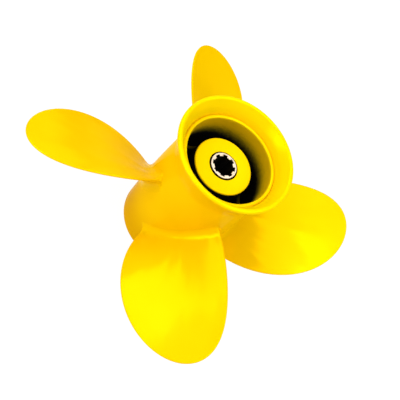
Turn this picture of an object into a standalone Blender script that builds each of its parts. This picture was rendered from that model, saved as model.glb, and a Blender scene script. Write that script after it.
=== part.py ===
"""Four-bladed boat propeller with a through-hub exhaust, on a splined sleeve.

Metres, +Z up. The shaft axis is +Z and the exhaust mouth is at the top, so the propeller
stands on the flat front rim of its barrel, with the origin at that rim's centre.
"""

import math

import bmesh
import bpy

MM = 0.001

# Clearance left between two pieces that touch on the real casting
GAP = 0.3 * MM

# Whole propeller
DIAMETER = 235.0 * MM
PITCH = 266.7 * MM
BLADE_COUNT = 4
HUB_LENGTH = 109.5 * MM

# Outer barrel, a tube with a slight belly that narrows to a neck behind the blades
BORE_RADIUS = 29.0 * MM
BELLY_RADIUS = 33.85 * MM
BELLY_HEIGHT = 28.0 * MM
NECK_RADIUS = 32.4 * MM
NECK_HEIGHT = 86.0 * MM
FRONT_EDGE_RADIUS = 1.6 * MM
BORE_CHAMFER = 0.8 * MM
SPIGOT_RADIUS = 31.0 * MM
LIP_RADIUS = 31.7 * MM
LIP_HEIGHT = 99.3 * MM

# Diffuser ring, the flared collar that sits over the barrel's spigot
RING_RADIUS = 39.5 * MM
RIM_RADIUS = 1.7 * MM
MOUTH_SLOPE = math.radians(54.0)
VALLEY_HEIGHT = 97.0 * MM

# Inner hub, the cast tube that holds the bush, with a shouldered aft wall
INNER_HUB_FRONT = 12.0 * MM
INNER_HUB_AFT = 90.4 * MM
INNER_HUB_FRONT_RADIUS = 20.6 * MM
INNER_HUB_AFT_RADIUS = 19.7 * MM
INNER_HUB_CHAMFER = 0.4 * MM
AFT_HOLE_RADIUS = 9.9 * MM
AFT_WALL = 6.0 * MM
BUSH_SEAT_RADIUS = 15.3 * MM

# Rubber bush and splined sleeve
BUSH_FRONT = 16.0 * MM
SLEEVE_RADIUS = 8.95 * MM
SLEEVE_FRONT = 10.0 * MM
SLEEVE_AFT = 90.9 * MM
SLEEVE_CHAMFER = 0.25 * MM
SPLINE_COUNT = 8
SPLINE_TIP_RADIUS = 6.6 * MM
SPLINE_GROOVE_RADIUS = 7.85 * MM
SPLINE_AZIMUTH = math.radians(6.4)

# Ribs between the inner hub and the barrel
RIB_COUNT = 4
RIB_AZIMUTH = math.radians(40.5)
RIB_THICKNESS = 4.0 * MM
RIB_INNER_FRONT = 15.0 * MM
RIB_OUTER_FRONT = 20.0 * MM
RIB_INNER_AFT = 82.5 * MM
RIB_OUTER_AFT = 71.0 * MM

# Blade: sections lie on cylinders about the shaft, along a helix of constant pitch
BLADE_AZIMUTH = math.radians(65.5)
ROOT_RADIUS = 34.0 * MM
ROOT_HEIGHT = 45.2 * MM
RAKE = 15.0 * MM
SKEW = math.radians(6.0)
SKEW_CURVE = math.radians(5.0)
ROOT_CHORD = 59.0 * MM
CHORD_GROWTH = 42.0 * MM
ROOT_THICKNESS = 7.5 * MM
TIP_THICKNESS = 2.2 * MM
EDGE_THICKNESS = 1.5 * MM
FILLET_RADIUS = 6.0 * MM
EDGE_FILLET = 0.35

# Mesh fineness
ROUND_SEGMENTS = 64
HUB_SEGMENTS = 48
BELLY_STEPS = 6
FLARE_STEPS = 7
TRUMPET_STEPS = 6
SPLINE_STEPS = 6
NOSE_STEPS = 3
CHORD_STEPS = 8
SPAN_STEPS = 11
FILLET_STEPS = 4
ROOT_LANES = 4
TIP_ANGLE = math.radians(87.0)
SHARP_ANGLE = math.radians(35.0)

# Finishes: colour, roughness, metallic
YELLOW_PAINT = ((0.98, 0.66, 0.0, 1.0), 0.25, 0.0)
BLACK_RUBBER = ((0.02, 0.02, 0.02, 1.0), 0.75, 0.0)
PALE_BRASS = ((0.83, 0.69, 0.52, 1.0), 0.35, 1.0)


def clear_scene():
    for old in list(bpy.data.objects):
        bpy.data.objects.remove(old, do_unlink=True)


def make_material(name, finish):
    colour, roughness, metallic = finish
    material = bpy.data.materials.new(name)
    material.use_nodes = True
    shader = material.node_tree.nodes["Principled BSDF"]
    shader.inputs["Base Color"].default_value = colour
    shader.inputs["Roughness"].default_value = roughness
    shader.inputs["Metallic"].default_value = metallic
    material.diffuse_color = colour
    return material


def make_mesh(name, shape, finish):
    """Turn a bmesh into a mesh with outward faces, smooth shading and its own material."""
    bmesh.ops.recalc_face_normals(shape, faces=shape.faces)
    mesh = bpy.data.meshes.new(name)
    shape.to_mesh(mesh)
    shape.free()
    mesh.shade_smooth()
    mesh.set_sharp_from_angle(angle=SHARP_ANGLE)
    mesh.materials.append(make_material(name + "_finish", finish))
    return mesh


def place(name, mesh, parent, azimuth=0.0):
    piece = bpy.data.objects.new(name, mesh)
    piece.parent = parent
    piece.rotation_euler.z = azimuth
    bpy.context.scene.collection.objects.link(piece)
    return piece


def skin(shape, loops, wrap):
    """Join like loops of vertices with quads; wrap also joins the last loop to the first."""
    pairs = list(zip(loops, loops[1:]))
    if wrap:
        pairs.append((loops[-1], loops[0]))
    for low, high in pairs:
        for i in range(len(low)):
            j = (i + 1) % len(low)
            shape.faces.new((low[i], low[j], high[j], high[i]))


def turned_mesh(name, outline, segments, finish):
    """Turn a closed outline of (radius, height) points about the shaft axis."""
    shape = bmesh.new()
    loops = []
    for radius, height in outline:
        turn = [2 * math.pi * i / segments for i in range(segments)]
        loops.append([shape.verts.new((radius * math.cos(a), radius * math.sin(a), height)) for a in turn])
    skin(shape, loops, wrap=True)
    return make_mesh(name, shape, finish)


def arc(centre, radius, start, end, steps):
    """Points on a circular arc in the (radius, height) plane, angles in degrees."""
    points = []
    for i in range(steps + 1):
        a = math.radians(start + (end - start) * i / steps)
        points.append((centre[0] + radius * math.cos(a), centre[1] + radius * math.sin(a)))
    return points


def bezier(p0, p1, p2, p3, steps):
    """Points on a cubic curve, both ends included."""
    points = []
    for i in range(steps + 1):
        t = i / steps
        w = ((1 - t) ** 3, 3 * t * (1 - t) ** 2, 3 * t * t * (1 - t), t ** 3)
        points.append(tuple(sum(k * p[axis] for k, p in zip(w, (p0, p1, p2, p3))) for axis in (0, 1)))
    return points


def barrel_radius(height):
    """Outer radius of the barrel: a belly that falls away to the neck."""
    fall = (BELLY_RADIUS - NECK_RADIUS) / (NECK_HEIGHT - BELLY_HEIGHT) ** 2
    return BELLY_RADIUS - fall * (height - BELLY_HEIGHT) ** 2


def make_barrel(parent):
    edge = FRONT_EDGE_RADIUS
    front = barrel_radius(edge)
    outline = arc((front - edge, edge), edge, -90, 0, 4)
    for i in range(1, BELLY_STEPS + 1):
        height = edge + (NECK_HEIGHT - edge) * i / BELLY_STEPS
        outline.append((barrel_radius(height), height))
    lip = (LIP_RADIUS - BORE_RADIUS) / 2
    outline.append((SPIGOT_RADIUS, NECK_HEIGHT))
    outline.append((SPIGOT_RADIUS, LIP_HEIGHT - 2 * lip + GAP))
    outline += arc((BORE_RADIUS + lip, LIP_HEIGHT - lip), lip, 0, 180, 6)
    outline.append((BORE_RADIUS, BORE_CHAMFER))
    outline.append((BORE_RADIUS + BORE_CHAMFER, 0.0))
    place("outer_barrel", turned_mesh("outer_barrel", outline, ROUND_SEGMENTS, YELLOW_PAINT), parent)


def make_diffuser_ring(parent):
    foot = NECK_HEIGHT + GAP
    inner = SPIGOT_RADIUS + GAP
    rim_centre = (RING_RADIUS - RIM_RADIUS, HUB_LENGTH - RIM_RADIUS)
    flare_end = (RING_RADIUS, rim_centre[1])
    outline = bezier(
        (barrel_radius(foot), foot),
        (NECK_RADIUS, foot + 7 * MM),
        (RING_RADIUS - 2 * MM, flare_end[1] - 6 * MM),
        flare_end,
        FLARE_STEPS,
    )
    outline += arc(rim_centre, RIM_RADIUS, 0, 90 + math.degrees(MOUTH_SLOPE), 6)[1:-1]
    along, up = math.cos(MOUTH_SLOPE), math.sin(MOUTH_SLOPE)
    mouth = (rim_centre[0] - RIM_RADIUS * up, rim_centre[1] + RIM_RADIUS * along)
    valley = (LIP_RADIUS + GAP, VALLEY_HEIGHT)
    outline += bezier(
        mouth,
        (mouth[0] - 3 * MM * along, mouth[1] - 3 * MM * up),
        (valley[0] + 0.5 * MM, valley[1] + 6 * MM),
        valley,
        TRUMPET_STEPS,
    )
    outline.append((inner, VALLEY_HEIGHT))
    outline.append((inner, foot))
    place("diffuser_ring", turned_mesh("diffuser_ring", outline, ROUND_SEGMENTS, YELLOW_PAINT), parent)


def make_inner_hub(parent):
    chamfer = INNER_HUB_CHAMFER
    outline = [
        (INNER_HUB_FRONT_RADIUS, INNER_HUB_FRONT),
        (INNER_HUB_AFT_RADIUS, INNER_HUB_AFT - chamfer),
        (INNER_HUB_AFT_RADIUS - chamfer, INNER_HUB_AFT),
        (AFT_HOLE_RADIUS, INNER_HUB_AFT),
        (AFT_HOLE_RADIUS, INNER_HUB_AFT - AFT_WALL),
        (BUSH_SEAT_RADIUS, INNER_HUB_AFT - AFT_WALL),
        (BUSH_SEAT_RADIUS, INNER_HUB_FRONT + chamfer),
        (BUSH_SEAT_RADIUS + chamfer, INNER_HUB_FRONT),
    ]
    place("inner_hub", turned_mesh("inner_hub", outline, HUB_SEGMENTS, YELLOW_PAINT), parent)


def make_rubber_bush(parent):
    outer = BUSH_SEAT_RADIUS - GAP
    inner = SLEEVE_RADIUS + GAP
    top = INNER_HUB_AFT - AFT_WALL - GAP
    chamfer = 1.0 * MM
    outline = [
        (outer - chamfer, BUSH_FRONT),
        (outer, BUSH_FRONT + chamfer),
        (outer, top),
        (inner, top),
        (inner, BUSH_FRONT),
    ]
    place("rubber_bush", turned_mesh("rubber_bush", outline, HUB_SEGMENTS, BLACK_RUBBER), parent)


def make_splined_sleeve(parent):
    shape = bmesh.new()
    count = SPLINE_COUNT * SPLINE_STEPS
    tooth_steps = SPLINE_STEPS // 2
    first = SPLINE_AZIMUTH - math.pi * (tooth_steps - 1) / count
    turn = [first + 2 * math.pi * i / count for i in range(count)]
    tooth_and_groove = [SPLINE_TIP_RADIUS] * tooth_steps + [SPLINE_GROOVE_RADIUS] * tooth_steps
    bore = tooth_and_groove * SPLINE_COUNT

    def loop(radii, height):
        return [shape.verts.new((r * math.cos(a), r * math.sin(a), height)) for r, a in zip(radii, turn)]

    narrow = [SLEEVE_RADIUS - SLEEVE_CHAMFER] * count
    full = [SLEEVE_RADIUS] * count
    loops = [
        loop(bore, SLEEVE_FRONT),
        loop(narrow, SLEEVE_FRONT),
        loop(full, SLEEVE_FRONT + SLEEVE_CHAMFER),
        loop(full, SLEEVE_AFT - SLEEVE_CHAMFER),
        loop(narrow, SLEEVE_AFT),
        loop(bore, SLEEVE_AFT),
    ]
    skin(shape, loops, wrap=True)
    place("splined_sleeve", make_mesh("splined_sleeve", shape, PALE_BRASS), parent)


def inner_hub_radius(height):
    """Outer radius of the inner hub, which has a casting draft."""
    share = (height - INNER_HUB_FRONT) / (INNER_HUB_AFT - INNER_HUB_FRONT)
    return INNER_HUB_FRONT_RADIUS + (INNER_HUB_AFT_RADIUS - INNER_HUB_FRONT_RADIUS) * share


def make_ribs(parent):
    shape = bmesh.new()
    half = RIB_THICKNESS / 2
    outer = math.sqrt((BORE_RADIUS - GAP) ** 2 - half ** 2)
    side = [
        (inner_hub_radius(RIB_INNER_FRONT) + GAP, RIB_INNER_FRONT),
        (outer, RIB_OUTER_FRONT),
        (outer, RIB_OUTER_AFT),
        (inner_hub_radius(RIB_INNER_AFT) + GAP, RIB_INNER_AFT),
    ]
    face = shape.faces.new([shape.verts.new((radius, -half, height)) for radius, height in side])
    grown = bmesh.ops.extrude_face_region(shape, geom=[face])["geom"]
    moved = [v for v in grown if isinstance(v, bmesh.types.BMVert)]
    bmesh.ops.translate(shape, verts=moved, vec=(0.0, RIB_THICKNESS, 0.0))
    mesh = make_mesh("rib", shape, YELLOW_PAINT)
    for i in range(RIB_COUNT):
        place(f"rib_{i + 1}", mesh, parent, RIB_AZIMUTH + 2 * math.pi * i / RIB_COUNT)


def blade_stations():
    """Span share of each section, 0 at the hub and 1 at the tip, with its root fillet's flare."""
    span = DIAMETER / 2 - ROOT_RADIUS
    stations = []
    for i in range(FILLET_STEPS):
        a = math.pi / 2 * i / FILLET_STEPS
        stations.append((FILLET_RADIUS * (1 - math.cos(a)) / span, FILLET_RADIUS * (1 - math.sin(a))))
    first = math.asin(FILLET_RADIUS / span)
    for i in range(SPAN_STEPS + 1):
        stations.append((math.sin(first + (TIP_ANGLE - first) * i / SPAN_STEPS), 0.0))
    return stations


def blade_point(share, along, aft):
    """A point of the blade: along its section's helix from mid-chord, and aft of it."""
    radius = ROOT_RADIUS + (DIAMETER / 2 - ROOT_RADIUS) * share
    slope = math.atan2(PITCH, 2 * math.pi * radius)
    turn = SKEW * share + SKEW_CURVE * share ** 2
    turn += (along * math.cos(slope) - aft * math.sin(slope)) / radius
    height = ROOT_HEIGHT + RAKE * share + along * math.sin(slope) + aft * math.cos(slope)
    radius += (barrel_radius(height) + GAP - ROOT_RADIUS) * (1 - share)
    return (radius * math.cos(turn), radius * math.sin(turn), height)


def section_alongs(chord, nose):
    """Places along a section: close together round both edges, even between them."""
    ends = [nose * (1 - math.cos(math.pi / 2 * i / NOSE_STEPS)) - chord / 2 for i in range(NOSE_STEPS)]
    flat = chord - 2 * nose
    middle = [flat * (i / CHORD_STEPS - 0.5) for i in range(CHORD_STEPS + 1)]
    return ends + middle + [-along for along in reversed(ends)]


def section_height(share, flare, chord, nose, along, side):
    """Height of a section's aft face (side 1) or front face (side -1) over its helix."""
    inside = min(1.0, max(0.0, (chord / 2 - abs(along)) / nose))
    edge = (EDGE_THICKNESS / 2 + flare) * math.sqrt(1 - (1 - inside) ** 2)
    if side > 0:
        return edge
    thickness = ROOT_THICKNESS + (TIP_THICKNESS - ROOT_THICKNESS) * share
    bulge = 1 - (2 * along / chord) ** 2
    return -edge - (thickness - EDGE_THICKNESS) * bulge * min(1.0, chord / (8 * thickness))


def section_loop(shape, share, flare):
    """One section as a loop of vertices: aft face from leading to trailing edge, and back."""
    chord = math.sqrt(1 - share ** 2) * (ROOT_CHORD + CHORD_GROWTH * share) + 2 * flare * EDGE_FILLET
    nose = EDGE_THICKNESS / 2 + flare * EDGE_FILLET
    alongs = section_alongs(chord, nose)
    path = [(along, 1) for along in alongs] + [(along, -1) for along in alongs[-2:0:-1]]
    loop = []
    for along, side in path:
        height = section_height(share, flare, chord, nose, along, side)
        loop.append(shape.verts.new(blade_point(share, along, height)))
    return loop


def close_root(shape, loop):
    """Close the root with a face that follows the barrel, lane by lane across the section."""
    def on_barrel(vertex_a, vertex_b, share):
        a = math.atan2(vertex_a.co.y, vertex_a.co.x)
        b = math.atan2(vertex_b.co.y, vertex_b.co.x)
        turn = a + (b - a) * share
        height = vertex_a.co.z + (vertex_b.co.z - vertex_a.co.z) * share
        radius = barrel_radius(height) + GAP
        return shape.verts.new((radius * math.cos(turn), radius * math.sin(turn), height))

    last = len(loop) // 2
    rows = [[loop[0]] * (ROOT_LANES + 1)]
    for i in range(1, last):
        aft, front = loop[i], loop[-i]
        middle = [on_barrel(aft, front, lane / ROOT_LANES) for lane in range(1, ROOT_LANES)]
        rows.append([aft] + middle + [front])
    rows.append([loop[last]] * (ROOT_LANES + 1))
    for row, following in zip(rows, rows[1:]):
        for lane in range(ROOT_LANES):
            corners = [row[lane], row[lane + 1], following[lane + 1], following[lane]]
            shape.faces.new(list(dict.fromkeys(corners)))


def close_tip(shape, loop):
    """Close the tip with a fan to the outermost point."""
    tip = shape.verts.new(blade_point(1.0, 0.0, 0.0))
    for i in range(len(loop)):
        shape.faces.new((loop[i], loop[(i + 1) % len(loop)], tip))


def make_blades(parent):
    shape = bmesh.new()
    loops = [section_loop(shape, share, flare) for share, flare in blade_stations()]
    skin(shape, loops, wrap=False)
    close_root(shape, loops[0])
    close_tip(shape, loops[-1])
    mesh = make_mesh("blade", shape, YELLOW_PAINT)
    for i in range(BLADE_COUNT):
        place(f"blade_{i + 1}", mesh, parent, BLADE_AZIMUTH + 2 * math.pi * i / BLADE_COUNT)


def build():
    clear_scene()
    parent = bpy.data.objects.new("propeller", None)
    bpy.context.scene.collection.objects.link(parent)
    make_barrel(parent)
    make_diffuser_ring(parent)
    make_inner_hub(parent)
    make_rubber_bush(parent)
    make_splined_sleeve(parent)
    make_ribs(parent)
    make_blades(parent)


build()
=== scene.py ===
# %% [markdown]
# # A boat propeller round its shaft axis
#
# The real thing is one aluminium casting: four blades stand on a barrel, and the barrel
# carries a smaller hub on four ribs, so that exhaust gas can leave through the middle.
# A rubber bush in the hub holds a splined sleeve, which slides over the engine's shaft.
#
# The CAD model is loaded first as a fixed frame. Every piece below is built in the same
# metres and round the same shaft axis, +Z, so nothing has to be fitted afterwards.

# %% Load the frame
import math

import bmesh
import bpy
from mathutils import Matrix, Vector


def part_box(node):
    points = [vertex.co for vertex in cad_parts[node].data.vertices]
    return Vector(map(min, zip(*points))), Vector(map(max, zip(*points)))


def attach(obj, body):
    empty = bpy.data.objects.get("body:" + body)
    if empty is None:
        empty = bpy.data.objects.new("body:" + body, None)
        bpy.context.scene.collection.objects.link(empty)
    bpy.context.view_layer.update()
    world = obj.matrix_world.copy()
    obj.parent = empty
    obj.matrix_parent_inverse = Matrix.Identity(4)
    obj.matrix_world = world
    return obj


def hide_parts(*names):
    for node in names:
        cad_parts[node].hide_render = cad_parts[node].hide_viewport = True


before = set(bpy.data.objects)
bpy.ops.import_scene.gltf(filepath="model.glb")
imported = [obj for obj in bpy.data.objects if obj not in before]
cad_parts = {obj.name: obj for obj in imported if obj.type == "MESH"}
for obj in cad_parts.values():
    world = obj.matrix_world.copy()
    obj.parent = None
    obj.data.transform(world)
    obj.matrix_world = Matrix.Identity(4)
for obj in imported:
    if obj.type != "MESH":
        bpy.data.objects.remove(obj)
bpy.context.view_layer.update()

MM = 0.001
print("CAD nodes:", ", ".join(sorted(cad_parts)))

# %% [markdown]
# ## The sizes that the frame gives
#
# The frame knows how far each solid reaches. Reading a size from it, instead of typing it
# again, keeps the dressed model on the CAD model if the CAD ever changes.

# %% Read sizes off the frame
def reach(node):
    """How far a node reaches from the shaft axis, with the heights of its two ends."""
    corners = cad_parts[node].data.vertices
    return max(math.hypot(v.co.x, v.co.y) for v in corners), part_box(node)[0].z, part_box(node)[1].z


ring_radius, _, hub_length = reach("diffuser_ring")
hub_tube_radius, hub_front, hub_aft = reach("inner_hub")
_, bush_front, bush_aft = reach("rubber_bush")
sleeve_radius, sleeve_front, sleeve_aft = reach("splined_sleeve")
print(f"hub {hub_length / MM:.1f} mm long, ring {2 * ring_radius / MM:.1f} mm across")

# %% [markdown]
# ## Turned shapes
#
# The barrel, the ring, the hub tube and the bush are all round, as if turned on a lathe:
# one outline of (radius, height) points goes once round the axis. Blender has a Spin tool
# and a Screw modifier for this. Plain mesh code is used here, because it closes the shape
# for certain, with no doubled points and no poles.

# %% Outline tools
ROUND_STEPS = 256
EDGE_STEPS, LIP_STEPS = 8, 16


def arc(centre, radius, start, end, steps):
    """Points on a circular arc, angles in degrees from the outward direction."""
    angles = [math.radians(start + (end - start) * i / steps) for i in range(steps + 1)]
    return [(centre[0] + radius * math.cos(a), centre[1] + radius * math.sin(a)) for a in angles]


def bezier(p0, p1, p2, p3, steps):
    """Points on a curve that leaves p0 towards p1 and reaches p3 from p2."""
    points = []
    for i in range(steps + 1):
        t = i / steps
        weights = ((1 - t) ** 3, 3 * t * (1 - t) ** 2, 3 * t * t * (1 - t), t ** 3)
        points.append(tuple(sum(w * p[k] for w, p in zip(weights, (p0, p1, p2, p3))) for k in (0, 1)))
    return points


# %% The lathe
SHARP_ANGLE = math.radians(32)
WELD_DISTANCE = 0.001 * MM


def finish_mesh(mesh, material):
    """Merge doubles, turn the faces outwards, and shade smoothly except over sharp edges."""
    shape = bmesh.new()
    shape.from_mesh(mesh)
    bmesh.ops.remove_doubles(shape, verts=shape.verts, dist=WELD_DISTANCE)
    bmesh.ops.recalc_face_normals(shape, faces=shape.faces)
    shape.to_mesh(mesh)
    open_edges = sum(1 for edge in shape.edges if not edge.is_manifold)
    shape.free()
    mesh.shade_smooth()
    mesh.set_sharp_from_angle(angle=SHARP_ANGLE)
    mesh.materials.clear()
    mesh.materials.append(material)
    print(f"{mesh.name}: {len(mesh.vertices)} points, {open_edges} open edges")


def new_piece(name, mesh, material):
    """Finish a mesh and put it in the scene as an object of its own."""
    finish_mesh(mesh, material)
    piece = bpy.data.objects.new(name, mesh)
    bpy.context.scene.collection.objects.link(piece)
    return piece


def turned(name, outline, material):
    """Turn a closed outline once round the shaft axis."""
    points = []
    faces = []
    count = len(outline)
    for i in range(ROUND_STEPS):
        a = 2 * math.pi * i / ROUND_STEPS
        points += [(radius * math.cos(a), radius * math.sin(a), height) for radius, height in outline]
        here = i * count
        there = (i + 1) % ROUND_STEPS * count
        for k in range(count):
            after = (k + 1) % count
            faces.append((here + k, there + k, there + after, here + after))
    mesh = bpy.data.meshes.new(name)
    mesh.from_pydata(points, [], faces)
    return new_piece(name, mesh, material)


# %% [markdown]
# ## Sums for nodes
#
# A node tree does its sums with one Math node for each plus, times or sine. Wired by hand,
# a short formula becomes a wall of nodes that nobody can read. This small class writes the
# same nodes from plain arithmetic, both in Geometry Nodes and in a material.

# %% Arithmetic that becomes Math nodes
class Amount:
    """A number worked out by nodes. Sums of Amounts add Math nodes to their tree."""

    def __init__(self, tree, socket):
        self.tree = tree
        self.socket = socket

    def work(self, operation, *values):
        node = self.tree.nodes.new("ShaderNodeMath")
        node.operation = operation
        for slot, value in zip(node.inputs, values):
            if isinstance(value, Amount):
                self.tree.links.new(value.socket, slot)
            else:
                slot.default_value = value
        return Amount(self.tree, node.outputs[0])

    def __add__(self, other):
        return self.work("ADD", self, other)

    def __sub__(self, other):
        return self.work("SUBTRACT", self, other)

    def __rsub__(self, other):
        return self.work("SUBTRACT", other, self)

    def __mul__(self, other):
        return self.work("MULTIPLY", self, other)

    def __truediv__(self, other):
        return self.work("DIVIDE", self, other)

    def __pow__(self, other):
        return self.work("POWER", self, other)

    __rmul__ = __mul__

    def sin(self):
        return self.work("SINE", self)

    def cos(self):
        return self.work("COSINE", self)

    def sqrt(self):
        return self.work("SQRT", self)

    def size(self):
        """How big this is, without its sign."""
        return self.work("ABSOLUTE", self)

    def below(self, limit):
        """1 where this is less than the limit, otherwise 0."""
        return self.work("LESS_THAN", self, limit)

    def above(self, limit):
        """1 where this is more than the limit, otherwise 0."""
        return self.work("GREATER_THAN", self, limit)

    def lesser(self, other):
        return self.work("MINIMUM", self, other)

    def greater(self, other):
        return self.work("MAXIMUM", self, other)

    def clamped(self):
        """Held between 0 and 1."""
        return self.greater(0.0).lesser(1.0)


# %% [markdown]
# ## A recipe for Geometry Nodes
#
# Each tree below has named inputs for its sizes, so that the same recipe serves another
# propeller. The steps are always the same: make the tree, set the modifier's inputs by
# their identifiers, evaluate it once, keep the result as a plain mesh, and remove the tree's
# object, because an export knows nothing about modifiers.

# %% Tree tools
def new_tree(name, sizes):
    """A node tree with one number input for each size, and those inputs as Amounts."""
    tree = bpy.data.node_groups.new(name, "GeometryNodeTree")
    tree.interface.new_socket("Geometry", in_out="OUTPUT", socket_type="NodeSocketGeometry")
    for label, value in sizes.items():
        kind = "NodeSocketInt" if isinstance(value, int) else "NodeSocketFloat"
        tree.interface.new_socket(label, in_out="INPUT", socket_type=kind)
    tree.interface.new_socket("Material", in_out="INPUT", socket_type="NodeSocketMaterial")
    inputs = tree.nodes.new("NodeGroupInput")
    return tree, inputs, {label: Amount(tree, inputs.outputs[label]) for label in sizes}


def add_node(tree, kind, settings=(), **links):
    """Add a node, set its properties, and give its inputs a value or a link each."""
    node = tree.nodes.new(kind)
    for key, value in dict(settings).items():
        setattr(node, key, value)
    for key, value in links.items():
        slot = node.inputs[key.replace("_", " ")]
        if isinstance(value, Amount):
            value = value.socket
        if isinstance(value, bpy.types.NodeSocket):
            tree.links.new(value, slot)
        else:
            slot.default_value = value
    return node


def grid_coordinates(tree, position):
    """The place of a point on a one by one grid, as two Amounts from 0 to 1."""
    split = add_node(tree, "ShaderNodeSeparateXYZ", Vector=position.outputs[0])
    return Amount(tree, split.outputs["X"]) + 0.5, Amount(tree, split.outputs["Y"]) + 0.5


def bend_grid(tree, columns, rows, bent):
    """A grid of points, each moved to the place that bent(across, along) gives."""
    grid = add_node(tree, "GeometryNodeMeshGrid", Vertices_X=columns, Vertices_Y=rows)
    position = tree.nodes.new("GeometryNodeInputPosition")
    x, y, z = bent(*grid_coordinates(tree, position))
    place = add_node(tree, "ShaderNodeCombineXYZ", X=x, Y=y, Z=z)
    moved = add_node(
        tree, "GeometryNodeSetPosition",
        Geometry=grid.outputs["Mesh"], Position=place.outputs[0],
    )
    merged = add_node(
        tree, "GeometryNodeMergeByDistance",
        Geometry=moved.outputs[0], Distance=WELD_DISTANCE,
    )
    return merged.outputs[0]


def array_round_shaft(tree, inputs, geometry, size):
    """Copies of a geometry in equal steps round the shaft, realized and given the material."""
    seats = add_node(tree, "GeometryNodeMeshLine", Count=size["Count"], Offset=(0.0, 0.0, 0.0))
    index = Amount(tree, tree.nodes.new("GeometryNodeInputIndex").outputs[0])
    angle = size["First angle"] + index * (2 * math.pi) / size["Count"]
    turn = add_node(tree, "ShaderNodeCombineXYZ", Z=angle)
    copies = add_node(
        tree, "GeometryNodeInstanceOnPoints",
        Points=seats.outputs[0], Instance=geometry, Rotation=turn.outputs[0],
    )
    real = add_node(tree, "GeometryNodeRealizeInstances", Geometry=copies.outputs[0])
    dressed = add_node(
        tree, "GeometryNodeSetMaterial",
        Geometry=real.outputs[0], Material=inputs.outputs["Material"],
    )
    result = tree.nodes.new("NodeGroupOutput")
    tree.links.new(dressed.outputs[0], result.inputs[0])


# %% Run a tree and keep a plain mesh
def grow(name, tree, sizes, material):
    """Run a tree on an empty object with these sizes, and keep the result as a plain piece."""
    seed = bpy.data.objects.new(name + "_seed", bpy.data.meshes.new(name + "_seed"))
    bpy.context.scene.collection.objects.link(seed)
    modifier = seed.modifiers.new("Recipe", "NODES")
    modifier.node_group = tree
    values = dict(sizes, Material=material)
    for socket in tree.interface.items_tree:
        if socket.in_out == "INPUT":
            modifier[socket.identifier] = values[socket.name]
    depsgraph = bpy.context.evaluated_depsgraph_get()
    mesh = bpy.data.meshes.new_from_object(seed.evaluated_get(depsgraph), depsgraph=depsgraph)
    seed.modifiers.remove(modifier)
    bpy.data.objects.remove(seed)
    mesh.name = name
    return new_piece(name, mesh, material)


# %% [markdown]
# ## Yellow enamel
#
# The casting is sprayed with a glossy yellow enamel. Its colour drifts a little where the
# coat is thicker. Painted shade makes it deeper at the front rim and at the roots of the
# blades, and painted light makes faces that look aft a lighter yellow. The gloss takes the
# enamel's own tint, so it is made of a few metal flakes. A clear coat would lay a white veil
# over every face that is seen at a slant, and the photograph has none.
#
# Three kinds of relief keep it from looking like plastic: the faint waves of the sand mould,
# the longer waves that a grinder leaves on the blades, and the fine "orange peel" of sprayed
# paint. All of it reads Object coordinates, so that it stays put on the metal.

# %% Material tools
def new_material(name):
    """A new material, with its tree, its shader and its Object coordinates."""
    material = bpy.data.materials.new(name)
    material.use_nodes = True
    tree = material.node_tree
    shader = tree.nodes["Principled BSDF"]
    coordinates = tree.nodes.new("ShaderNodeTexCoord").outputs["Object"]
    return material, tree, shader, coordinates


def noise(tree, coordinates, size, detail=2.0, roughness=0.5):
    """Noise whose blotches are about this size in metres, as an Amount from 0 to 1."""
    node = add_node(tree, "ShaderNodeTexNoise", Vector=coordinates, Scale=1.0 / size, Detail=detail)
    node.inputs["Roughness"].default_value = roughness
    return Amount(tree, node.outputs["Fac"])


def ramp(tree, factor, *stops):
    """A colour ramp with (place, colour) stops."""
    node = add_node(tree, "ShaderNodeValToRGB", Fac=factor)
    elements = node.color_ramp.elements
    while len(elements) < len(stops):
        elements.new(0.5)
    for element, (place, colour) in zip(elements, stops):
        element.position = place
        element.color = (*colour, 1.0)
    return node.outputs["Color"]


def mixed(tree, factor, first, second):
    """The first colour where the factor is 0, the second where it is 1."""
    node = add_node(tree, "ShaderNodeMix", {"data_type": "RGBA"})
    for slot, value in (("Factor_Float", factor), ("A_Color", first), ("B_Color", second)):
        target = next(i for i in node.inputs if i.identifier == slot)
        if isinstance(value, tuple):
            target.default_value = (*value, 1.0)
        else:
            tree.links.new(getattr(value, "socket", value), target)
    return next(o for o in node.outputs if o.identifier == "Result_Color")


def bump(tree, height, depth, below=None):
    """Bump of this depth in metres, on top of another bump where one is given."""
    node = add_node(tree, "ShaderNodeBump", Height=height, Distance=depth)
    if below is not None:
        tree.links.new(below, node.inputs["Normal"])
    return node.outputs["Normal"]


def smooth_step(tree, value, start, end):
    """0 below start, 1 above end, and an easy curve between. It also runs backwards."""
    node = add_node(tree, "ShaderNodeMapRange", {"interpolation_type": "SMOOTHSTEP"}, Value=value)
    node.inputs["From Min"].default_value = min(start, end)
    node.inputs["From Max"].default_value = max(start, end)
    risen = Amount(tree, node.outputs["Result"])
    return risen if end > start else 1 - risen


def round_coordinates(tree, coordinates):
    """Distance from the shaft axis, and height along it."""
    split = add_node(tree, "ShaderNodeSeparateXYZ", Vector=coordinates)
    x, y, z = (Amount(tree, split.outputs[axis]) for axis in "XYZ")
    return (x * x + y * y).sqrt(), z


# %% Tints and waves
GRINDING_WAVES, GRINDING_DEPTH = 11 * MM, 0.9 * MM
GRINDING_FAN, GRINDING_STRETCH = 60 * MM, 0.12


def lighter(colour, lightness):
    """The same yellow, lightened by its green share only, so that it stays as strong."""
    return (colour[0], colour[1] * lightness, colour[2])


def lean(tree):
    """How far a face leans over: 1 looks straight aft, 0 sideways and -1 straight forwards."""
    geometry = tree.nodes.new("ShaderNodeNewGeometry")
    split = add_node(tree, "ShaderNodeSeparateXYZ", Vector=geometry.outputs["Normal"])
    return Amount(tree, split.outputs["Z"])


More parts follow.
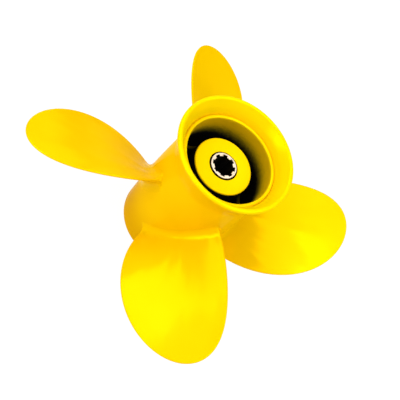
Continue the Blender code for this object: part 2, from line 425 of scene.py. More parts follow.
def grinding_waves(tree, coordinates):
    """Long shallow waves that run outwards from the shaft, as a grinder leaves them on a blade."""
    split = add_node(tree, "ShaderNodeSeparateXYZ", Vector=coordinates)
    x, y = Amount(tree, split.outputs["X"]), Amount(tree, split.outputs["Y"])
    radius = (x * x + y * y).sqrt()
    fan = add_node(
        tree, "ShaderNodeCombineXYZ",
        X=x / radius * GRINDING_FAN, Y=y / radius * GRINDING_FAN, Z=radius * GRINDING_STRETCH,
    )
    return noise(tree, fan.outputs[0], GRINDING_WAVES, detail=1.5)


# %% Mix the enamel
THICK_COAT, EVEN_COAT = (0.80, 0.475, 0.0), (0.87, 0.52, 0.001)
# Painted shade: the deeper yellow painted at the roots of the blades and towards the front rim.
PAINTED_SHADE_COAT = (0.63, 0.31, 0.0)
THIN_COAT = (0.45, 0.36, 0.0)
UNDERCOAT = (0.004, 0.004, 0.0045)
COAT_BLOTCH = 45 * MM
AFT_LEAN = 0.35
GLOSS_BLOTCH = 9 * MM
DULLNESS, DULLNESS_SPREAD, BARE_DULLNESS = 0.13, 0.08, 0.3
FEW_FLAKES, BLADE_FLAKES = 0.1, 0.14
CLEAR_GLOSS = 0.002
GLOSS_TINT = (1.0, 0.7, 0.05, 1.0)
MOULD_WAVES, MOULD_DEPTH = 30 * MM, 0.12 * MM
PEEL_SIZE, PEEL_DEPTH = 1.6 * MM, 0.004 * MM


def drifting_coat(tree, drift, lightness):
    """Enamel that goes from the thick coat's yellow to the even coat's as the drift rises."""
    thick, even = lighter(THICK_COAT, lightness), lighter(EVEN_COAT, lightness)
    return ramp(tree, drift, (0.3, thick), (0.7, even))


def make_enamel(
    name, coverage=None, lightness=1.0, aft_painted_light=None, painted_shade=None,
    flakes=FEW_FLAKES, ground=False,
):
    """Glossy enamel over a black undercoat, which shows where coverage(tree, coordinates) is 0.

    Where the given mask of painted shade is 1 it is painted deeper; faces that look aft have
    their own lightness, which is painted light; and it shows the waves of a grinder where the metal
    was ground.
    """
    material, tree, shader, coordinates = new_material(name)
    drift = noise(tree, coordinates, COAT_BLOTCH)
    colour = drifting_coat(tree, drift, lightness)
    if aft_painted_light is not None:
        # Painted light: faces that look aft are painted a lighter yellow.
        aft_painted_light_share = smooth_step(tree, lean(tree), 0.0, AFT_LEAN)
        colour = mixed(tree, aft_painted_light_share, colour, drifting_coat(tree, drift, aft_painted_light))
    gloss = noise(tree, coordinates, GLOSS_BLOTCH, detail=4.0) * DULLNESS_SPREAD + DULLNESS
    if painted_shade is not None:
        # Painted shade: a deeper yellow where the given shade mask is 1.
        colour = mixed(tree, painted_shade(tree, coordinates), colour, PAINTED_SHADE_COAT)
    if coverage is not None:
        coat = coverage(tree, coordinates)
        colour = mixed(tree, coat, UNDERCOAT, mixed(tree, coat, THIN_COAT, colour))
        gloss = gloss + (1 - coat) * BARE_DULLNESS
    tree.links.new(colour, shader.inputs["Base Color"])
    tree.links.new(gloss.socket, shader.inputs["Roughness"])
    shader.inputs["Metallic"].default_value = flakes
    shader.inputs["Specular IOR Level"].default_value = CLEAR_GLOSS
    shader.inputs["Specular Tint"].default_value = GLOSS_TINT
    waves = bump(tree, noise(tree, coordinates, MOULD_WAVES, detail=1.0), MOULD_DEPTH)
    if ground:
        waves = bump(tree, grinding_waves(tree, coordinates), GRINDING_DEPTH, waves)
    peel = bump(tree, noise(tree, coordinates, PEEL_SIZE, detail=1.0), PEEL_DEPTH, waves)
    tree.links.new(peel, shader.inputs["Normal"])
    return material


# %% Enamel for the ring and the blades
# Painted shade where a blade meets the barrel: where it starts and ends, and how deep it goes.
ROOT_SHADE_START, ROOT_SHADE_END, ROOT_SHADE_SHARE = 60 * MM, 33 * MM, 0.1


def painted_shade_at_root(tree, coordinates):
    """Painted shade: the enamel is painted a little deeper where a blade meets the barrel."""
    radius, _ = round_coordinates(tree, coordinates)
    return smooth_step(tree, radius, ROOT_SHADE_START, ROOT_SHADE_END) * ROOT_SHADE_SHARE


# Painted light: the ring's faces that look aft are painted a lighter yellow.
ring_enamel = make_enamel("yellow_enamel_ring", aft_painted_light=1.19)
blade_enamel = make_enamel(
    "yellow_enamel_blades", lightness=1.02, painted_shade=painted_shade_at_root,
    flakes=BLADE_FLAKES, ground=True,
)
print("finishes:", ring_enamel.name, blade_enamel.name)

# %% [markdown]
# ## Overspray inside the exhaust passage
#
# Inside, the casting is only primed black. The spray gun reaches a little way past the lip,
# so the yellow thins out over about two centimetres. A painter would call this overspray.
# It needs no picture: it follows the height along the shaft, with a little noise, and the
# end faces of the hub and the ribs catch more of it, because they face the gun.

# %% Enamel for the barrel
BARE_HEIGHT, FULL_HEIGHT = 79.5 * MM, 93 * MM
FRONT_BARE_HEIGHT = 16 * MM
RAGGED_SIZE, RAGGED_REACH = 2 * MM, 4 * MM
BORE_COAT = 0.7
BORE_SIDE = 29.4 * MM
# Painted shade towards the front rim: where it starts and ends, and how deep it goes.
FRONT_SHADE_START, FRONT_SHADE_END, FRONT_SHADE_SHARE = 48 * MM, 8 * MM, 0.8


def bore_coverage(tree, coordinates):
    """Full outside the bore. Inside it, the coat thins from both ends towards the middle."""
    radius, height = round_coordinates(tree, coordinates)
    height = height + (noise(tree, coordinates, RAGGED_SIZE, detail=3.0) - 0.5) * RAGGED_REACH
    aft = smooth_step(tree, height, BARE_HEIGHT, FULL_HEIGHT)
    front = smooth_step(tree, height, FRONT_BARE_HEIGHT, 0.0)
    outside = 1 - radius.below(BORE_SIDE)
    return ((aft + front) * BORE_COAT + outside).clamped()


def painted_shade_at_front(tree, coordinates):
    """Painted shade: the enamel is painted deeper towards the front rim."""
    _, height = round_coordinates(tree, coordinates)
    return smooth_step(tree, height, FRONT_SHADE_START, FRONT_SHADE_END) * FRONT_SHADE_SHARE


# Painted light on the barrel's faces that look aft, and painted shade towards its front rim.
bore_enamel = make_enamel(
    "yellow_enamel_bore", bore_coverage, aft_painted_light=1.14, painted_shade=painted_shade_at_front,
)
print("finish:", bore_enamel.name)


# %% Enamel for the hub tube and the ribs
EDGE_BARE, EDGE_COATED = hub_aft - 1.6 * MM, hub_aft - 0.4 * MM
SHADED_RADIUS, OPEN_RADIUS = 22 * MM, 28 * MM
SHADED_COAT, OPEN_COAT = 0.15, 0.5
SIDE_LEAN, END_LEAN = 0.2, 0.8


def end_faces(tree):
    """1 on faces that look along the shaft, either way, and 0 on the sides."""
    return smooth_step(tree, lean(tree).size(), SIDE_LEAN, END_LEAN)


def hub_coverage(tree, coordinates):
    """The hub tube is coated on its two end faces, and the coat wraps round the aft edge."""
    _, height = round_coordinates(tree, coordinates)
    return (end_faces(tree) + smooth_step(tree, height, EDGE_BARE, EDGE_COATED)).clamped()


def rib_coverage(tree, coordinates):
    """A rib is coated on its two ends only, and less near the hub tube, which shades it."""
    radius, _ = round_coordinates(tree, coordinates)
    openness = smooth_step(tree, radius, SHADED_RADIUS, OPEN_RADIUS)
    return end_faces(tree) * (openness * (OPEN_COAT - SHADED_COAT) + SHADED_COAT)


# Painted light: the hub tube's enamel is a lighter copy of the yellow.
hub_enamel = make_enamel("yellow_enamel_hub", hub_coverage, lightness=1.13)
rib_enamel = make_enamel("yellow_enamel_ribs", rib_coverage)
print("finishes:", hub_enamel.name, rib_enamel.name)

# %% [markdown]
# ## Rubber and brass
#
# The bush is black rubber, matt and a little dusty. The sleeve is a pale brass tube; its end
# was faced in a lathe, so it carries fine rings round the shaft axis. Its bore, away from its
# two ends, and its outer wall, which stands in the narrow gap round it, are painted near black:
# this is painted shade.

# %% Mix the rubber
CLEAN_RUBBER, DUSTY_RUBBER = (0.012, 0.012, 0.012), (0.05, 0.048, 0.044)
DUST_SIZE = 6 * MM
RUBBER_DULLNESS, RUBBER_SPREAD = 0.6, 0.25
GRAIN_SIZE, GRAIN_DEPTH = 0.5 * MM, 0.02 * MM


def make_rubber():
    material, tree, shader, coordinates = new_material("black_rubber")
    dust = noise(tree, coordinates, DUST_SIZE, detail=5.0, roughness=0.6)
    colour = ramp(tree, dust, (0.35, CLEAN_RUBBER), (0.8, DUSTY_RUBBER))
    tree.links.new(colour, shader.inputs["Base Color"])
    dullness = dust * RUBBER_SPREAD + RUBBER_DULLNESS
    tree.links.new(dullness.socket, shader.inputs["Roughness"])
    grain = bump(tree, noise(tree, coordinates, GRAIN_SIZE, detail=3.0), GRAIN_DEPTH)
    tree.links.new(grain, shader.inputs["Normal"])
    return material


rubber = make_rubber()
print("finish:", rubber.name)


# %% Mix the brass
DULL_BRASS, CLEAN_BRASS = (0.82, 0.69, 0.54), (0.92, 0.80, 0.66)
# Painted shade: the near black of the sleeve's bore and of its outer wall in the narrow gap.
SHADE_PAINT = (0.004, 0.003, 0.002)
SHADE_PAINT_RADIUS = 8.1 * MM
UNSHADED_END, SHADE_PAINT_START = 0.1 * MM, 0.6 * MM
WALL_SKIN = 0.1 * MM
STAIN_SIZE = 5 * MM
BRASS_DULLNESS, BRASS_SPREAD = 0.4, 0.2
BRASS_METAL, BRASS_GLOSS = 0.8, 0.1
LATHE_FEED, LATHE_DEPTH = 0.25 * MM, 0.003 * MM


def make_brass():
    material, tree, shader, coordinates = new_material("pale_brass")
    radius, height = round_coordinates(tree, coordinates)
    stain = noise(tree, coordinates, STAIN_SIZE, detail=4.0)
    metal = ramp(tree, stain, (0.3, DULL_BRASS), (0.75, CLEAN_BRASS))
    aft = smooth_step(tree, height, sleeve_aft - SHADE_PAINT_START, sleeve_aft - UNSHADED_END)
    front = smooth_step(tree, height, sleeve_front + SHADE_PAINT_START, sleeve_front + UNSHADED_END)
    wall = radius.above(sleeve_radius - WALL_SKIN)
    # Painted shade: near black in the bore, except close to its ends, and on the outer wall.
    shade_painted = (radius.below(SHADE_PAINT_RADIUS) * (1 - aft - front) + wall).clamped()
    colour = mixed(tree, shade_painted, metal, SHADE_PAINT)
    tree.links.new(colour, shader.inputs["Base Color"])
    dullness = stain * BRASS_SPREAD + BRASS_DULLNESS
    tree.links.new(dullness.socket, shader.inputs["Roughness"])
    tree.links.new(((1 - shade_painted) * BRASS_METAL).socket, shader.inputs["Metallic"])
    shader.inputs["Specular IOR Level"].default_value = BRASS_GLOSS
    rings = (radius * (2 * math.pi / LATHE_FEED)).sin()
    tree.links.new(bump(tree, rings, LATHE_DEPTH), shader.inputs["Normal"])
    return material


brass = make_brass()
print("finish:", brass.name)

# %% [markdown]
# ## The barrel
#
# The barrel is the outer tube. It has a slight belly, so that water closes smoothly round it,
# and the blades grow out of it. Its aft end is a thin rounded lip inside the flared ring.
# The outline goes up the outside, over the lip and down the bore.

# %% Turn the barrel
BELLY_RADIUS, BELLY_HEIGHT = 33.85 * MM, 28 * MM
NECK_RADIUS, NECK_HEIGHT = 32.4 * MM, 86 * MM
FRONT_EDGE = 1.6 * MM
BORE_RADIUS = 29 * MM
BORE_CHAMFER = 0.8 * MM
LIP_HEIGHT = 99.3 * MM
SPIGOT_RADIUS = 31.7 * MM
SEAM_HEIGHT = 86.15 * MM
BELLY_FALL = (BELLY_RADIUS - NECK_RADIUS) / (NECK_HEIGHT - BELLY_HEIGHT) ** 2
BELLY_STEPS = 60


def barrel_radius(height):
    """Outer radius of the barrel. It works on plain numbers and on Amounts."""
    rise = height - BELLY_HEIGHT
    return BELLY_RADIUS - BELLY_FALL * (rise * rise)


def make_barrel():
    front = (barrel_radius(FRONT_EDGE) - FRONT_EDGE, FRONT_EDGE)
    outline = arc(front, FRONT_EDGE, -90, 0, EDGE_STEPS)
    for i in range(1, BELLY_STEPS + 1):
        height = FRONT_EDGE + (SEAM_HEIGHT - FRONT_EDGE) * i / BELLY_STEPS
        outline.append((barrel_radius(height), height))
    lip = (SPIGOT_RADIUS - BORE_RADIUS) / 2
    outline.append((SPIGOT_RADIUS, SEAM_HEIGHT))
    outline += arc((BORE_RADIUS + lip, LIP_HEIGHT - lip), lip, 0, 180, LIP_STEPS)
    outline += [(BORE_RADIUS, BORE_CHAMFER), (BORE_RADIUS + BORE_CHAMFER, 0.0)]
    return turned("barrel", outline, bore_enamel)


barrel = make_barrel()
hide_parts("outer_barrel")

# %% [markdown]
# ## The flared ring
#
# Behind the blades the barrel opens like a trumpet. The flare keeps water from being sucked
# back into the exhaust. Its outline leaves the barrel in the barrel's own direction, so the
# seam between the two pieces can't be seen, and it ends in a deep valley round the lip. It
# is made of two curves, and each pull below says how far a curve is drawn out at one end.

# %% Turn the ring
RIM_RADIUS = 1.7 * MM
MOUTH_SLOPE = math.radians(54)
VALLEY_HEIGHT = 98.2 * MM
FOOT_PULL = 7 * MM
RIM_PULL = (2 * MM, 6 * MM)
MOUTH_PULL = 3 * MM
VALLEY_PULL = (0.7 * MM, 5.2 * MM)
FLARE_STEPS = 40


def make_ring():
    rim = (ring_radius - RIM_RADIUS, hub_length - RIM_RADIUS)
    foot = (barrel_radius(SEAM_HEIGHT), SEAM_HEIGHT)
    slope = -2 * BELLY_FALL * (SEAM_HEIGHT - BELLY_HEIGHT)
    outline = bezier(
        foot,
        (foot[0] + slope * FOOT_PULL, foot[1] + FOOT_PULL),
        (ring_radius - RIM_PULL[0], rim[1] - RIM_PULL[1]),
        (ring_radius, rim[1]),
        FLARE_STEPS,
    )
    outline += arc(rim, RIM_RADIUS, 0, 90 + math.degrees(MOUTH_SLOPE), LIP_STEPS)[1:-1]
    fall, run = math.sin(MOUTH_SLOPE), math.cos(MOUTH_SLOPE)
    mouth = (rim[0] - RIM_RADIUS * fall, rim[1] + RIM_RADIUS * run)
    outline += bezier(
        mouth,
        (mouth[0] - MOUTH_PULL * run, mouth[1] - MOUTH_PULL * fall),
        (SPIGOT_RADIUS + VALLEY_PULL[0], VALLEY_HEIGHT + VALLEY_PULL[1]),
        (SPIGOT_RADIUS, VALLEY_HEIGHT),
        FLARE_STEPS,
    )
    outline.append((SPIGOT_RADIUS, SEAM_HEIGHT))
    return turned("flared_ring", outline, ring_enamel)


flared_ring = make_ring()
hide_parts("diffuser_ring")

# %% [markdown]
# ## The hub tube
#
# The inner tube holds the bush. It narrows slightly towards the aft end, which is the draft
# that lets the sand core leave the casting, and it ends in a flat wall with a round hole.

# %% Turn the hub tube
HUB_AFT_RADIUS = 19.7 * MM
HUB_EDGE = 0.9 * MM
HOLE_RADIUS, HOLE_EDGE, HOLE_STEPS = 9.9 * MM, 0.3 * MM, 6
AFT_WALL = 6 * MM
SEAT_RADIUS = 15.3 * MM


def make_hub_tube():
    foot = (hub_tube_radius - HUB_EDGE, hub_front + HUB_EDGE)
    edge = (HUB_AFT_RADIUS - HUB_EDGE, hub_aft - HUB_EDGE)
    hole = (HOLE_RADIUS + HOLE_EDGE, hub_aft - HOLE_EDGE)
    outline = [(hub_tube_radius, hub_front + HUB_EDGE)]
    outline += arc(edge, HUB_EDGE, 0, 90, EDGE_STEPS)
    outline += arc(hole, HOLE_EDGE, 90, 180, HOLE_STEPS)
    outline += [
        (HOLE_RADIUS, hub_aft - AFT_WALL),
        (SEAT_RADIUS, hub_aft - AFT_WALL),
        (SEAT_RADIUS, hub_front + HUB_EDGE),
        (SEAT_RADIUS + HUB_EDGE, hub_front),
    ]
    outline += arc(foot, HUB_EDGE, -90, 0, EDGE_STEPS)[:-1]
    return turned("hub_tube", outline, hub_enamel)


hub_tube = make_hub_tube()
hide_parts("inner_hub")

# %% [markdown]
# ## The ribs
#
# Four ribs hold the hub tube in the barrel. A rib could be a plain plate, but molten metal
# dislikes a sharp inner corner, so each rib swells into both tubes with a fillet. The tree
# bends a grid into a closed tube: across goes round the rib's own section, along goes from
# the hub tube out to the barrel. The count and the first angle are inputs.

# %% Describe a rib
RIB_SIZES = {
    "Count": 4,
    "First angle": math.radians(40.5),
    "Inner radius": 19.9 * MM,
    "Outer radius": BORE_RADIUS,
    "Thickness": 4 * MM,
    "Fillet": 2.5 * MM,
    "Inner front": 15 * MM,
    "Outer front": 20 * MM,
    "Inner aft": 82.5 * MM,
    "Outer aft": 71 * MM,
}
RIB_SUNK = 1.2 * MM
ROUND_POINTS, RADIAL_ROWS = 49, 33


# %% Write the rib's rule as a tree
def make_rib_tree():
    tree, inputs, size = new_tree("Ribs round the shaft", RIB_SIZES)

    def bent(across, along):
        """Round a rib there are two flat sides and two round ends. It flares at both tubes."""
        start = size["Inner radius"] - RIB_SUNK
        radius = start + (size["Outer radius"] + RIB_SUNK - start) * along
        share = (radius - size["Inner radius"]) / (size["Outer radius"] - size["Inner radius"])
        front = size["Inner front"] + (size["Outer front"] - size["Inner front"]) * share
        aft = size["Inner aft"] + (size["Outer aft"] - size["Inner aft"]) * share
        near = (radius - size["Inner radius"]).lesser(size["Outer radius"] - radius)
        depth = (near / size["Fillet"]).clamped()
        flare = size["Fillet"] * (1 - (1 - (1 - depth) * (1 - depth)).sqrt())
        half = size["Thickness"] / 2 + flare
        turn = across * (2 * math.pi)
        straight = (aft - front) / 2 - size["Thickness"] / 2
        upright = turn.sin()
        side = turn.cos()
        stretch = upright.work("SIGN", upright) * straight
        height = (front + aft) / 2 + stretch + upright * half
        return (radius * radius - (side * half) ** 2).sqrt(), side * half, height

    rib = bend_grid(tree, ROUND_POINTS, RADIAL_ROWS, bent)
    array_round_shaft(tree, inputs, rib, size)
    return tree


ribs = grow("hub_ribs", make_rib_tree(), RIB_SIZES, rib_enamel)
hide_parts("rib_1", "rib_2", "rib_3", "rib_4")

# %% [markdown]
# ## The blades
#
# Each blade is a piece of a screw thread. Its sections lie on cylinders round the shaft, and
# all of them climb along helices of the same pitch: in one turn the propeller would screw
# itself that far through the water. Because the shape follows a rule, one tree makes it. It
# bends a grid: "across" runs round the section, from the leading edge over the aft face to
# the trailing edge and back over the front face, and "along" runs from the root to the tip.
#
# The aft face pushes the water and stays close to the helix. The front face is rounded, and
# all of the thickness is on that side. At the root both faces flare into the barrel.

# %% Describe the blade
BLADE_SIZES = {
    "Count": 4,
    "First angle": math.radians(65.5),
    "Pitch": 266.7 * MM,
    "Tip radius": 117.5 * MM,
    "Root radius": 34 * MM,
    "Root height": 45.2 * MM,
    "Rake": 15 * MM,
    "Skew": math.radians(6),
    "Skew growth": math.radians(5),
    "Root chord": 59 * MM,
    "Chord growth": 42 * MM,
    "Root thickness": 7.5 * MM,
    "Tip thickness": 2.2 * MM,
    "Edge thickness": 1.5 * MM,
    "Root fillet": 6 * MM,
    "Edge share": 0.15,
}
SECTION_POINTS = 64
FILLET_ROWS = 14
SPAN_ROWS = 64
ROOT_SUNK, ROOT_OVERLAP = 1.5 * MM, 0.005 * MM


def helix_point(size, share, along, aft, sunk):
    """A point at a share of the span, along its section's helix and aft of it."""
    radius = size["Root radius"] + (size["Tip radius"] - size["Root radius"]) * share
    slope = radius.work("ARCTAN2", size["Pitch"], radius * (2 * math.pi))
    turn = size["Skew"] * share + size["Skew growth"] * share * share
    turn += (along * slope.cos() - aft * slope.sin()) / radius
    height = size["Root height"] + size["Rake"] * share + along * slope.sin() + aft * slope.cos()
    radius = radius + (barrel_radius(height) - size["Root radius"]) * (1 - share) - sunk
    return radius * turn.cos(), radius * turn.sin(), height


# %% [markdown]
# ## The rounded edge
#
# The edge of a blade is rounded all the way along its outline. To round it, each point has
# to know how far in from the outline it lies. The outline is where one simple sum, here
# called inside, comes to nothing, and that sum divided by its own steepness is very nearly
# the distance. It is the cheapest way, and it needs no second shape to measure against.

# %% Write the blade's rule as a tree
LEAST_STEEPNESS, LEAST_WIDTH = 0.001, 1e-9
FULL_BULGE_CHORD, BULGE_SOFTNESS = 4, 0.3


def make_blade_tree():
    tree, inputs, size = new_tree("Blades of a propeller", BLADE_SIZES)
    rows = 2 + FILLET_ROWS + SPAN_ROWS

    def bent(across, along):
        """Row 0 closes the root in the barrel, then come the fillet's rows and the blade's."""
        row = along * (rows - 1)
        cap = row.below(0.5)
        span = size["Tip radius"] - size["Root radius"]
        fillet_share = size["Root fillet"] / span
        curl = ((row - 1) / FILLET_ROWS).clamped() * (math.pi / 2)
        start = fillet_share.work("ARCSINE", fillet_share)
        climb = ((row - 1 - FILLET_ROWS) / SPAN_ROWS).clamped()
        share = (start + (math.pi / 2 - start) * climb).sin() - fillet_share * curl.cos()
        flare = size["Root fillet"] * (1 - curl.sin())

        place = 1 - (across * 2 - 1).size()
        chord_share = (place * math.pi).cos() * -1
        aft_side = across.below(0.5)
        narrow = (1 - share * share).greater(0.0).sqrt()
        full = size["Root chord"] + size["Chord growth"] * share
        half_chord = narrow * full / 2 + flare * size["Edge share"]
        chordwise = half_chord * chord_share

        rim = narrow * chord_share
        inside = narrow * narrow * (1 - chord_share * chord_share)
        lean_along = rim * 4 / full
        lean_out = (share - rim * rim * size["Chord growth"] / full) * 2 / span
        steepness = (lean_along * lean_along + lean_out * lean_out).sqrt() + LEAST_STEEPNESS
        from_edge = inside / steepness * half_chord * 2 / (narrow * full + LEAST_WIDTH)
        nose = size["Edge thickness"] / 2 + flare * size["Edge share"]
        missing = 1 - (from_edge / nose).clamped()
        half_edge = (size["Edge thickness"] / 2 + flare) * (1 - missing * missing).sqrt()

        thickness = size["Root thickness"] + (size["Tip thickness"] - size["Root thickness"]) * share
        room = half_chord / thickness / FULL_BULGE_CHORD
        fade = room.work("SMOOTH_MIN", room, 1.0, BULGE_SOFTNESS)
        bulge = (thickness - size["Edge thickness"]) * (1 - chord_share * chord_share) * fade
        front = (half_edge + bulge) * -1
        aft = (front + (half_edge - front) * aft_side) * (1 - cap)
        return helix_point(size, share, chordwise, aft, cap * ROOT_SUNK + ROOT_OVERLAP)

    blade = bend_grid(tree, 2 * SECTION_POINTS + 1, rows, bent)
    array_round_shaft(tree, inputs, blade, size)
    return tree


blades = grow("blades", make_blade_tree(), BLADE_SIZES, blade_enamel)
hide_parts("blade_1", "blade_2", "blade_3", "blade_4")

# %% [markdown]
# ## The bush
#
# The rubber bush is pressed into the hub tube and grips the sleeve. If the blades hit a rock,
# it slips instead of breaking the gears. Moulded rubber shrinks as it cools, so its free
# front end is slightly hollow. The hollow is one curve from the bore to the rounded edge.

# %% Mould the bush
BUSH_EDGE = 1.2 * MM
BORE_DROP = 0.6 * MM
BORE_PULL = (1 * MM, 0.2 * MM)
EDGE_PULL = (2.5 * MM, 1.4 * MM)
HOLLOW_STEPS = 16


def make_bush():
    edge = SEAT_RADIUS - BUSH_EDGE
    outline = arc((edge, bush_front + BUSH_EDGE), BUSH_EDGE, -90, 0, EDGE_STEPS)
    outline += [(SEAT_RADIUS, bush_aft), (sleeve_radius, bush_aft)]
    outline += bezier(
        (sleeve_radius, bush_front + BORE_DROP),
        (sleeve_radius + BORE_PULL[0], bush_front + BORE_PULL[1]),
        (edge - EDGE_PULL[0], bush_front + EDGE_PULL[1]),
        (edge, bush_front),
        HOLLOW_STEPS,
    )[:-1]
    return turned("bush", outline, rubber)


bush = make_bush()
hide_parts("rubber_bush")

# %% [markdown]
# ## The splined sleeve
#
# Eight teeth inside the sleeve lock into the shaft's splines. The tube is one outline swept
# round the axis, and the teeth are one bar, copied in equal steps, as a broach would leave
# them: flat on top, with sloping flanks.

# %% Describe the sleeve
TOOTH_INSET = 0.05 * MM
SLEEVE_SIZES = {
    "Count": 8,
    "First angle": math.radians(6.4),
    "Front": sleeve_front + TOOTH_INSET,
    "Aft": sleeve_aft - TOOTH_INSET,
    "Tip radius": 6.6 * MM,
    "Groove radius": 7.85 * MM,
    "Tip width": 2.4 * MM,
    "Root width": 3.4 * MM,
    "Chamfer": 0.3 * MM,
}
TOOTH_CORNERS = 4
TOOTH_ROWS = 6
TOOTH_SUNK = 0.5 * MM


# %% Write the tooth's rule as a tree
def make_teeth_tree():
    tree, inputs, size = new_tree("Spline teeth", SLEEVE_SIZES)

    def bent(across, along):
        """Corners 0 and 3 stand in the tube, and 1 and 2 on the top of the tooth.

        Rows 0 and 5 close its ends. The chamfers run from row 1 to 2 and from row 3 to 4.
        """
        corner = across * TOOTH_CORNERS
        inner = corner.above(0.5) * corner.below(2.5)
        right = corner.above(1.5) * corner.below(3.5)
        row = along * (TOOTH_ROWS - 1)
        middle = row.above(1.5) * row.below(3.5)
        closed = row.below(0.5) + row.above(4.5)
        aft_half = row.above(2.5)

        base = size["Groove radius"] + TOOTH_SUNK
        tip = size["Tip radius"] + size["Chamfer"] * (1 - middle)
        radius = base + (tip - base) * inner * (1 - closed)
        width = size["Root width"] + (size["Tip width"] - size["Root width"]) * inner
        side = width * (right - 0.5) * (1 - closed)
        height = size["Front"] + (size["Aft"] - size["Front"]) * aft_half
        height = height + size["Chamfer"] * middle * (1 - aft_half * 2)
        return radius, side, height

    tooth = bend_grid(tree, TOOTH_CORNERS + 1, TOOTH_ROWS, bent)
    array_round_shaft(tree, inputs, tooth, size)
    return tree


teeth = grow("spline_teeth", make_teeth_tree(), SLEEVE_SIZES, brass)

# %% Turn the sleeve
SLEEVE_EDGE = 0.25 * MM


def make_sleeve():
    groove = SLEEVE_SIZES["Groove radius"]
    outline = [
        (groove, sleeve_front),
        (sleeve_radius - SLEEVE_EDGE, sleeve_front),
        (sleeve_radius, sleeve_front + SLEEVE_EDGE),
        (sleeve_radius, sleeve_aft - SLEEVE_EDGE),
        (sleeve_radius - SLEEVE_EDGE, sleeve_aft),
        (groove, sleeve_aft),
    ]
    return turned("sleeve", outline, brass)


sleeve = make_sleeve()
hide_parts("splined_sleeve")

# %% [markdown]
# ## Riding on the frame
#
# The propeller is one rigid body, so every piece rides on "root".

# %% Fasten the pieces
for piece in (barrel, flared_ring, hub_tube, ribs, blades):
    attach(piece, "root")
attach(bush, "root")
for piece in (sleeve, teeth):
    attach(piece, "root")
print("8 pieces ride on root")

# %% [markdown]
# ## Floor, light and camera
#
# The photograph is a catalogue picture on white. The floor glows softly, so that it is as
# white as the photograph's ground right out to its far edge, and the sky is dim. The shading
# comes from ten area lamps, each a metre away. One wide panel lights everything from the
# right. The softboxes stand where a blade, the barrel or the fillet at a blade's root would
# mirror them to the camera, and each of them makes one of the soft highlights that the
# photograph shows. The three small spots brighten the middle of those highlights.
#
# The colour transform is set to Standard, because the usual filmic one turns a clean strong
# yellow dull.

# %% Lay the floor
FLOOR_HALF, FLOOR_HEIGHT = 12.0, -0.02 * MM
DARK_SPECK, LIGHT_SPECK = (0.07, 0.07, 0.07), (0.09, 0.09, 0.09)
SPECK_SIZE = 40 * MM
FLOOR_DULLNESS, FLOOR_GLOSS, FLOOR_GLOW = 0.7, 0.2, 0.95
WHITE = (1.0, 1.0, 1.0, 1.0)


def make_floor():
    mesh = bpy.data.meshes.new("floor")
    signs = ((-1, -1), (1, -1), (1, 1), (-1, 1))
    corners = [(x * FLOOR_HALF, y * FLOOR_HALF, FLOOR_HEIGHT) for x, y in signs]
    mesh.from_pydata(corners, [], [(0, 1, 2, 3)])
    floor = bpy.data.objects.new("floor", mesh)
    bpy.context.scene.collection.objects.link(floor)
    material, tree, shader, coordinates = new_material("pale_floor")
    speck = noise(tree, coordinates, SPECK_SIZE)
    colour = ramp(tree, speck, (0.3, DARK_SPECK), (0.7, LIGHT_SPECK))
    tree.links.new(colour, shader.inputs["Base Color"])
    shader.inputs["Roughness"].default_value = FLOOR_DULLNESS
    shader.inputs["Specular IOR Level"].default_value = FLOOR_GLOSS
    shader.inputs["Emission Color"].default_value = WHITE
    shader.inputs["Emission Strength"].default_value = FLOOR_GLOW
    mesh.materials.append(material)
    return floor


make_floor()

# %% Light the studio
LAMP_DISTANCE = 1.0
LIT_POINT = Vector((0.0, 0.0, 50 * MM))
# For each lamp: its direction from the propeller, (width, height) in metres, and watts.
LAMPS = {
    "right_panel": ((-0.345, -0.311, 0.886), (1.2, 1.2), 11.8),
    "right_spot": ((-0.320, -0.290, 0.900), (0.25, 0.25), 0.6),
    "left_softbox": ((-0.210, 0.910, 0.350), (0.78, 0.6), 3.9),
    "left_spot": ((-0.150, 0.900, 0.400), (0.3, 0.3), 0.8),
    "left_fill": ((0.194, 0.706, 0.681), (0.6, 0.62), 2.8),
    "low_softbox": ((-0.800, 0.560, 0.200), (0.6, 0.3), 0.25),
    "top_softbox": ((0.700, 0.241, 0.672), (0.56, 0.62), 3.5),
    "front_spot": ((0.450, -0.470, 0.770), (0.3, 0.3), 0.3),
    "overhead_softbox": ((0.220, 0.140, 0.965), (0.6, 0.6), 1.0),
    "far_softbox": ((0.927, -0.197, 0.318), (0.34, 0.34), 0.45),
}


def hang_lamp(name, toward, size, power):
    """A rectangular lamp out towards a direction, facing the middle of the propeller."""
    light = bpy.data.lights.new(name, "AREA")
    light.shape = "RECTANGLE"
    light.size, light.size_y = size
    light.energy = power
    rig = bpy.data.objects.new(name, light)
    out = Vector(toward).normalized()
    rig.location = out * LAMP_DISTANCE + LIT_POINT
    rig.rotation_mode = "QUATERNION"
    rig.rotation_quaternion = out.to_track_quat("Z", "Y")
    bpy.context.scene.collection.objects.link(rig)


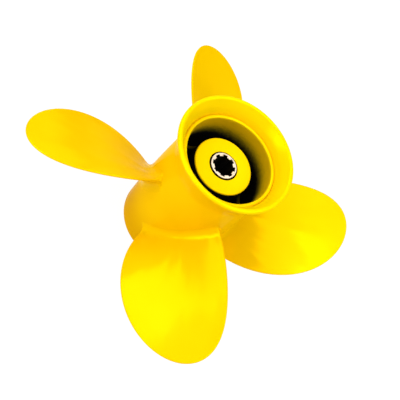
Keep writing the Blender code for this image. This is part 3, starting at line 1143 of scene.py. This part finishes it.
for name, (toward, size, power) in LAMPS.items():
    hang_lamp(name, toward, size, power)
print(len(LAMPS), "lamps,", round(sum(power for _, _, power in LAMPS.values()), 1), "watts in all")

# %% Dim the sky
SKY_STRENGTH = 0.15

world = bpy.data.worlds.new("studio")
world.use_nodes = True
sky = world.node_tree.nodes["Background"]
sky.inputs["Color"].default_value = WHITE
sky.inputs["Strength"].default_value = SKY_STRENGTH
scene = bpy.context.scene
scene.world = world
scene.view_settings.view_transform = "Standard"
print("sky strength", SKY_STRENGTH)

# %% [markdown]
# ## The camera
#
# The viewing angle was found by matching the ring, the hub and the four blade outlines. The
# camera looks at a point near the middle of the barrel from about 0.41 m, 54 degrees above
# the floor, and it is rolled, because the propeller in the photograph lies at a slant.

# %% Place the camera
CAMERA_AIM = Vector((-4.85, -4.06, 47.68)) * MM
CAMERA_DISTANCE = 411.5 * MM
CAMERA_AZIMUTH = math.radians(-139.93)
CAMERA_HEIGHT = math.radians(54.03)
CAMERA_ROLL = math.radians(48.93)
FOCAL_LENGTH, SENSOR_WIDTH = 54.63, 36.0


def make_camera():
    view = bpy.data.cameras.new("camera")
    view.sensor_width = SENSOR_WIDTH
    view.lens = FOCAL_LENGTH
    view.clip_start = 10 * MM
    camera = bpy.data.objects.new("camera", view)
    back = Vector((
        math.sin(CAMERA_AZIMUTH) * math.cos(CAMERA_HEIGHT),
        -math.cos(CAMERA_AZIMUTH) * math.cos(CAMERA_HEIGHT),
        math.sin(CAMERA_HEIGHT),
    ))
    level = (-back).to_track_quat("-Z", "Y").to_matrix()
    rolled = (level @ Matrix.Rotation(CAMERA_ROLL, 3, "Z")).to_4x4()
    camera.matrix_world = Matrix.Translation(CAMERA_AIM + back * CAMERA_DISTANCE) @ rolled
    bpy.context.scene.collection.objects.link(camera)
    bpy.context.scene.camera = camera
    return camera


camera = make_camera()
print("camera right:", [round(c, 4) for c in camera.matrix_world.col[0]])
print("camera up:", [round(c, 4) for c in camera.matrix_world.col[1]])
